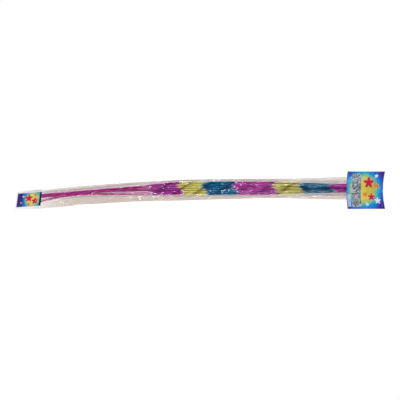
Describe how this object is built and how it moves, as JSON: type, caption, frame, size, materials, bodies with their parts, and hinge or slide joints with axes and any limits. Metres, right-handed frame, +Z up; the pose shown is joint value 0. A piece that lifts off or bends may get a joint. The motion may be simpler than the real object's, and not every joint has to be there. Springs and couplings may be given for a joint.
{
  "type": "pack of sparklers",
  "caption": "Long flat film pack of paper-wrapped sparklers on bamboo sticks, with a folded header card and a small folded card round the handle ends.",
  "frame": {"origin": "middle of the pack's box, on the surface that the pack lies on", "axes": "+X along the pack from the handles to the header card, +Z up from the surface"},
  "size_m": [1.0034, 0.1016, 0.0145],
  "materials": {
    "film": "gloss",
    "insert_print": "satin",
    "header_print": "satin",
    "staple_wire": "satin",
    "bamboo": "matte",
    "handle_tissue": "matte",
    "charge_tissue": "matte",
    "composition": "matte"
  },
  "bodies": {
    "pack": {"bag_back_film": "film", "bag_front_film": "film", "insert_card": "insert_print", "header_card": "header_print", "header_staples": "staple_wire"},
    "sparkler_1": {"sparkler_1_stick": "bamboo", "sparkler_1_handle_wrap": "handle_tissue", "sparkler_1_charge": "composition", "sparkler_1_charge_wrap": "charge_tissue"},
    "sparkler_2": {"sparkler_2_stick": "bamboo", "sparkler_2_handle_wrap": "handle_tissue", "sparkler_2_charge": "composition", "sparkler_2_charge_wrap": "charge_tissue"},
    "sparkler_3": {"sparkler_3_stick": "bamboo", "sparkler_3_handle_wrap": "handle_tissue", "sparkler_3_charge": "composition", "sparkler_3_charge_wrap": "charge_tissue"},
    "sparkler_4": {"sparkler_4_stick": "bamboo", "sparkler_4_handle_wrap": "handle_tissue", "sparkler_4_charge": "composition", "sparkler_4_charge_wrap": "charge_tissue"},
    "sparkler_5": {"sparkler_5_stick": "bamboo", "sparkler_5_handle_wrap": "handle_tissue", "sparkler_5_charge": "composition", "sparkler_5_charge_wrap": "charge_tissue"},
    "sparkler_6": {"sparkler_6_stick": "bamboo", "sparkler_6_handle_wrap": "handle_tissue", "sparkler_6_charge": "composition", "sparkler_6_charge_wrap": "charge_tissue"}
  },
  "joints": [
    {"name": "sparkler_1_slide", "type": "slide", "parent": "pack", "child": "sparkler_1", "axis": [1, 0, 0], "range_m": [-0.003, 0.004]},
    {"name": "sparkler_2_slide", "type": "slide", "parent": "pack", "child": "sparkler_2", "axis": [1, 0, 0], "range_m": [-0.003, 0.004]},
    {"name": "sparkler_3_slide", "type": "slide", "parent": "pack", "child": "sparkler_3", "axis": [1, 0, 0], "range_m": [-0.003, 0.004]},
    {"name": "sparkler_4_slide", "type": "slide", "parent": "pack", "child": "sparkler_4", "axis": [1, 0, 0], "range_m": [-0.003, 0.004]},
    {"name": "sparkler_5_slide", "type": "slide", "parent": "pack", "child": "sparkler_5", "axis": [1, 0, 0], "range_m": [-0.003, 0.004]},
    {"name": "sparkler_6_slide", "type": "slide", "parent": "pack", "child": "sparkler_6", "axis": [1, 0, 0], "range_m": [-0.003, 0.004]}
  ]
}
